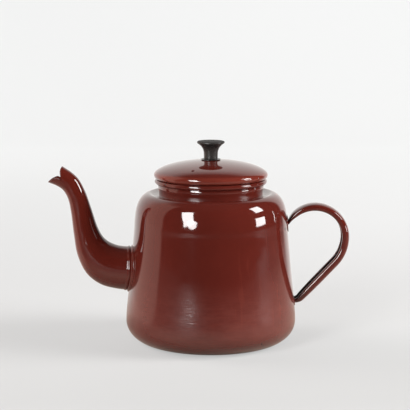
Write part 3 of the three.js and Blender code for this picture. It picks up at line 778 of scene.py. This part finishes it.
def dulled_with_painted_light(made, colour, rough):
    """The pot's wall dulled and combed low down, with faint runs on the handle's side: colour, roughness, ripple. Low
    down its colour also holds painted light: a pale haze for the floor's light on the wall, stronger on the handle's
    side, and pale streaks of painted sheen along the combing.
    """
    low = made.eased(made.along("Z") + (made.cloud(20.0, 3.0) - 0.5) * 0.03, *LOW_ZONE)
    low = low * made.eased(made.along("Z"), *ABOVE_FOOT)
    handle_side = made.eased(made.along("X"), *HANDLE_SIDE)
    fog = made.eased(made.cloud(60.0, 5.0, 0.65, stretch=(1, 1, 2.5)), 0.28, 0.72)
    rough = rough + low * (0.10 + fog * 0.06)
    # Painted light: the low wall is paled towards the haze, for the floor's light on it and more on the handle's
    # side, as well as for its dulled glaze
    colour = made.mixed(low * (0.04 + fog * 0.16 + handle_side * 0.2), colour, HAZE_AND_FLOOR_LIGHT)
    combed = made.cloud(520.0, 2.0, 0.6, stretch=(0.12, 0.12, 1.0))
    fine = made.cloud(950.0, 2.0, 0.6, stretch=(0.12, 0.12, 1.0))
    ripple = low * (combed * 0.5 + fine * 0.62)
    # Painted sheen: pale streaks along the fine combing, for light caught on the ripples of the glaze
    colour = made.mixed(low * made.eased(fine, 0.44, 0.62) * 0.16, colour, PALE_MAROON)
    runs = made.eased(made.cloud(260.0, 2.0, stretch=(1, 1, 0.03)), 0.60, 0.72)
    colour = made.mixed(runs * handle_side * made.eased(made.along("Z"), *RUNS_BELOW) * 0.3, colour, PALE_MAROON)
    colour = made.mixed(DARKENED, colour, GROUND_COAT)
    across, away = made.along("X"), made.along("Y")
    inward = made.eased((across * across + away * away) ** 0.5, *NECK_SLOPE_RADII)
    rough = rough + inward * made.eased(made.along("Z"), *NECK_SLOPE_BELOW) * 0.17
    return colour, rough, ripple


def enamel(name, chips=(), worn_foot=False, dulled=False, pale_rim=False):
    """Brown vitreous enamel: glassy, slightly wavy and cloudy, with chips down to the dark ground coat."""
    made = Recipe(name)
    clouds = made.cloud(34.0, 4.0)
    colour = made.mixed(clouds, MAROON_DEEP, MAROON)
    specks = made.eased(made.cloud(2600.0, 1.0), 0.70, 0.78)
    colour = made.mixed(specks * 0.35, colour, GROUND_COAT)
    rough = 0.045 + clouds * 0.04
    ripple = 0.0
    # dulled also paints the floor's light and sheen low down on the wall
    if dulled:
        colour, rough, ripple = dulled_with_painted_light(made, colour, rough)
    if pale_rim:
        rim = made.eased(made.along("Z"), *PALE_EDGE_BELOW)
        colour = made.mixed(rim * 0.45, colour, PALE_MAROON)
    bare = made.eased(made.cloud(700.0, 3.0), 0.79, 0.81) * 0.6
    for place, size in chips:
        bare = made.maths("MAXIMUM", bare, made.spot(place, size))
    if worn_foot:
        lowest = made.eased(made.along("Z") + (made.cloud(260.0, 3.0) - 0.5) * 0.0016, *BARE_FOOT_BELOW)
        brown = made.eased(made.along("Z") + (made.cloud(330.0, 4.0) - 0.5) * 0.006, *BROWN_FOOT_BELOW)
        colour = made.mixed(brown * made.eased(made.cloud(420.0, 3.0), 0.55, 0.62), colour, WORN_BROWN)
        bare = made.maths("MAXIMUM", bare, lowest)
    colour = made.mixed(bare, colour, GROUND_COAT)
    wave = made.cloud(55.0, 2.0) + made.cloud(420.0, 3.0) * 0.03
    normal = made.bumped(wave + ripple - bare * 0.5, 1.0, 0.0001)
    return made.finish(Base_Color=colour, Roughness=rough + bare * 0.45, IOR=1.45, Coat_Weight=0.4 - bare * 0.4,
                       Coat_Roughness=0.03, Normal=normal)


def hollow_painted_shade(name):
    """A near-black sheet inside the handle's hollow strip: painted shade where the hollow lies in shadow."""
    made = Recipe(name)
    colour = made.mixed(made.cloud(180.0, 4.0), HOLLOW_SHADE_BROWN, HOLLOW_SHADE_BLACK)
    return made.finish(Base_Color=colour, Roughness=0.5, IOR=1.3)


def black_plastic(name):
    """Moulded black phenolic, rubbed soft by hands and dull on top."""
    made = Recipe(name)
    mottled = made.cloud(240.0, 5.0)
    rubbed = made.eased(made.cloud(90.0, 4.0, stretch=(1, 1, 0.25)), 0.35, 0.75)
    top = made.eased(made.along("Z"), *KNOB_CROWN_ABOVE)
    colour = made.mixed(rubbed, PLASTIC, RUBBED_PLASTIC)
    colour = made.mixed(top * 0.7, colour, PLASTIC_TOP)
    grain = made.cloud(1500.0, 3.0)
    return made.finish(Base_Color=colour, Roughness=0.22 + rubbed * 0.14 + mottled * 0.06 + top * 0.4, IOR=1.42,
                       Normal=made.bumped(grain, 0.12, 0.0003))


def bright_steel(name):
    """Plated steel, dulled by steam."""
    made = Recipe(name)
    spots = made.eased(made.cloud(900.0, 4.0), 0.6, 0.72)
    brushed = made.cloud(500.0, 3.0, stretch=(1, 1, 0.15))
    colour = made.mixed(spots, STEEL, STAINED_STEEL)
    return made.finish(Base_Color=colour, Metallic=1.0, Roughness=0.26 + brushed * 0.12 + spots * 0.25,
                       Normal=made.bumped(brushed, 0.1, 0.0002))


# The height in metres that the lamps aim at and the room is seen from
POT_MIDDLE = 0.09

# The room as the glaze shows it: turns and rises in radians, nothing at the first number and all at the second
LEFT_SIDE = (-1.29, -1.40)
RIGHT_SIDE = (2.28, 2.42)
BELOW_CEILING = (1.12, 0.72)
WARM_SIDES = (2.45, 1.9)
WARM_LIFT = 0.22
COOL_LIGHT = (1, 0.97, 0.94, 1)
WARM_LIGHT = (1, 0.66, 0.56, 1)
PAPER_GLOW = [(0.06, (0.39, 0.39, 0.387, 1)), (0.14, (0.445, 0.445, 0.442, 1)), (0.22, (0.49, 0.49, 0.488, 1)),
              (0.30, (0.505, 0.505, 0.505, 1)), (0.5, (0.585, 0.59, 0.59, 1)), (0.93, (0.695, 0.705, 0.705, 1))]


def around(made, across, away, up):
    """What the glaze shows of the room in a direction: how bright, how warm, its tint, the rise and the reach.

    It is pale and warm at the sides, white behind, and dark in front and overhead.
    """
    azimuth = made.maths("ARCTAN2", across, 0.0 - away)
    reach = (across * across + away * away) ** 0.5
    rise = made.maths("ARCTAN2", up, reach)
    left, right = made.eased(azimuth, *LEFT_SIDE), made.eased(azimuth, *RIGHT_SIDE)
    bright = made.maths("MAXIMUM", left, right) * made.eased(rise, *BELOW_CEILING)
    warm = made.eased(made.maths("ABSOLUTE", azimuth), *WARM_SIDES)
    tint = made.mixed(warm, COOL_LIGHT, WARM_LIGHT)
    return bright, warm, tint, rise, reach


def paper(name):
    """The pale paper sweep that the pot stands on; in the glaze it shows bright at the sides and dim in front."""
    made = Recipe(name)
    eye = made.node("ShaderNodeLightPath", out="Is Camera Ray")
    mirrored = made.node("ShaderNodeLightPath", out="Is Glossy Ray")
    across, away, up = (made.along(axis) for axis in "XYZ")
    bright, warm, tint, _, reach = around(made, across, away, up - POT_MIDDLE)
    far = mirrored * made.eased(reach, 0.11, 0.38)
    soft = made.cloud(3.0, 3.0)
    pale = made.mixed(soft, (0.375, 0.375, 0.37, 1), (0.385, 0.385, 0.38, 1))
    pale = made.mixed(mirrored, pale, (0.38, 0.31, 0.26, 1))
    colour = made.mixed(made.maths("MAXIMUM", far, eye * 0.53), pale, BLACK)
    depth = made.node("ShaderNodeMapRange", sockets={"Value": away, "From Min": -0.3, "From Max": 1.6})
    glow = made.node("ShaderNodeValToRGB", {"stops": PAPER_GLOW}, {0: depth})
    # Painted shade: the floor as the camera sees it is greyed on the left, most near the pot
    left = made.eased(across, 0.5, -0.5) * (0.1 + made.eased(away, 1.4, 0.5) * 0.26)
    glow = made.mixed(left, glow, (0.35, 0.35, 0.35, 1))
    beside = made.eased(across, 0.06, 0.22) * made.eased(reach, 1.1, 0.5)
    dim = 0.02 + made.eased(reach, 2.2, 1.0) * 0.12 + beside * 0.45
    shown = made.mixed((bright * (0.98 + warm * WARM_LIFT) + (1.0 - bright) * dim) * far, BLACK, tint)
    glow = made.mixed(eye, shown, glow)
    return made.finish(Base_Color=colour, Roughness=0.85, Emission_Color=glow, Emission_Strength=1.0)


def make_sweep():
    """The floor, curved up into a back wall."""
    profile = joined([(-6.0, 0.0), (1.5, 0.0)], arc(1.5, 1.0, 1.0, 1.0, -90, 0, 24), [(2.5, 3.2)])
    rows = [[(x * 1000, y * 1000, z * 1000) for x in (-5, -2.5, 0, 2.5, 5)] for y, z in profile]
    sweep = piece_from("paper_sweep", rows, closed_columns=False)
    return sweep


def studio_light(name, azimuth, rise, distance, size, power, shape="RECTANGLE", roll=0, mirrored=True):
    """A soft lamp aimed at the pot; azimuth from the camera's side towards +X, rise above the horizon, in degrees."""
    lamp = bpy.data.lights.new(name, "AREA")
    lamp.shape = shape
    lamp.size, lamp.size_y = size
    lamp.energy = power
    turn, lift = math.radians(azimuth), math.radians(rise)
    way = Vector((math.sin(turn) * math.cos(lift), -math.cos(turn) * math.cos(lift), math.sin(lift)))
    holder = bpy.data.objects.new(name, lamp)
    holder.location = Vector((0, 0, POT_MIDDLE)) + way * distance
    holder.rotation_euler = (Matrix.Rotation(math.radians(roll), 3, way)
                             @ way.to_track_quat("Z", "Y").to_matrix()).to_euler()
    holder.visible_camera = False
    holder.visible_glossy = mirrored
    bpy.context.collection.objects.link(holder)


def make_room():
    """The room round the sweep: pale at the sides and behind, dark on the camera's side and overhead."""
    world = bpy.data.worlds.new("room")
    bpy.context.scene.world = world
    room = Recipe("room", world)
    way = room.node("ShaderNodeTexCoord", out="Generated")
    side, ahead, lift = (room.along(axis, way) for axis in "XYZ")
    bright, warm, tint, rise, _ = around(room, side, ahead, lift)
    level = 0.03 + bright * (0.97 + warm * WARM_LIFT) + room.eased(rise, 0.7, 1.1) * 0.06
    eye = room.node("ShaderNodeLightPath", out="Is Camera Ray")
    colour = room.mixed(level, BLACK, tint)
    colour = room.mixed(eye, colour, (0.87, 0.875, 0.875, 1))
    shine = room.node("ShaderNodeBackground", sockets={"Color": colour})
    room.node("ShaderNodeOutputWorld", sockets={"Surface": shine})


def make_camera():
    """The long lens, fitted to the photograph: sensor and lens in millimetres, place in metres."""
    lens = bpy.data.cameras.new("camera")
    lens.sensor_width = 36
    lens.lens = 127.0
    eye = bpy.data.objects.new("camera", lens)
    eye.location = (-0.00512, -1.260, 0.3161)
    eye.rotation_euler = (math.radians(81.218), 0, 0)
    bpy.context.collection.objects.link(eye)
    bpy.context.scene.camera = eye


def dress(piece, finish, body, slot, *nodes):
    """Gives a piece its finish and its body, and hides the nodes that it stands for. The slot is not used."""
    piece.data.materials.clear()
    piece.data.materials.append(finish)
    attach(piece, body)
    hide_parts(*nodes)


make_camera()
bpy.context.scene.view_settings.view_transform = "Standard"
make_room()
studio_light("window_left", -36.2, 22, 2.0, (0.58, 1.26), 43.0, roll=13)
studio_light("window_left_corner", -27.8, 7.8, 2.0, (0.52, 0.40), 9.0, shape="ELLIPSE")
studio_light("window_right_low", 79, 5.8, 2.0, (0.62, 0.345), 11.0)
studio_light("window_right_high", 84.5, 33, 2.0, (0.562, 0.634), 18.0)
studio_light("door_gap", 110, 6, 2.0, (0.035, 0.50), 0.6)
studio_light("fill_left", -112, 20, 2.2, (1.4, 1.2), 50.0, mirrored=False)
studio_light("fill_right", 82, 18, 2.2, (1.4, 1.2), 98.0, mirrored=False)
make_sweep().data.materials.append(paper("sweep_paper"))

pot_enamel = enamel("pot_enamel", worn_foot=True, dulled=True, chips=POT_CHIPS)
spout_enamel = enamel("spout_enamel")
handle_enamel = enamel("handle_enamel")
lid_enamel = enamel("lid_enamel", pale_rim=True)
plastic = black_plastic("knob_plastic")
steel = bright_steel("screw_steel")

dress(make_pot_body(), pot_enamel, "pot", "enamel", "body_shell")
dress(make_pot_base(), pot_enamel, "pot", "enamel", "base_disc")
dress(make_spout(), spout_enamel, "pot", "enamel", "spout_left", "spout_right")
dress(make_spout_collar(), spout_enamel, "pot", "enamel", "spout_collar")
dress(make_handle(), handle_enamel, "pot", "enamel", "handle_strip")
# A dark sheet inside the handle's hollow: painted shade
lining = make_handle("handle_strip_shade_sheet", LINING_INSET, LINING_SHEET)
dress(lining, hollow_painted_shade("hollow_painted_shade"), "pot", "enamel", "handle_strip")
upper_tab = make_handle_tab("handle_upper_tab", UPPER_JOINT, UPPER_TAB)
dress(upper_tab, handle_enamel, "pot", "enamel", "handle_upper_foot")
lower_tab = make_handle_tab("handle_lower_tab", LOWER_JOINT, LOWER_TAB)
dress(lower_tab, handle_enamel, "pot", "enamel", "handle_lower_foot")
dress(make_lid(), lid_enamel, "lid", "enamel", "lid_dome")
dress(make_lid_flange(), lid_enamel, "lid", "enamel", "lid_flange")
dress(make_knob(), plastic, "lid", "knob", "knob")
knob_disc = turned("knob_disc", ring_outline(HOLE_RADIUS, *KNOB_DISC), 96)
dress(knob_disc, plastic, "lid", "knob", "knob_washer")
dress(make_screw(), steel, "screw", "steel", "knob_screw")
screw_ring = turned("screw_ring", ring_outline(HOLE_RADIUS, *SCREW_RING), 96)
dress(screw_ring, steel, "lid", "steel", "screw_washer")

bpy.context.view_layer.update()
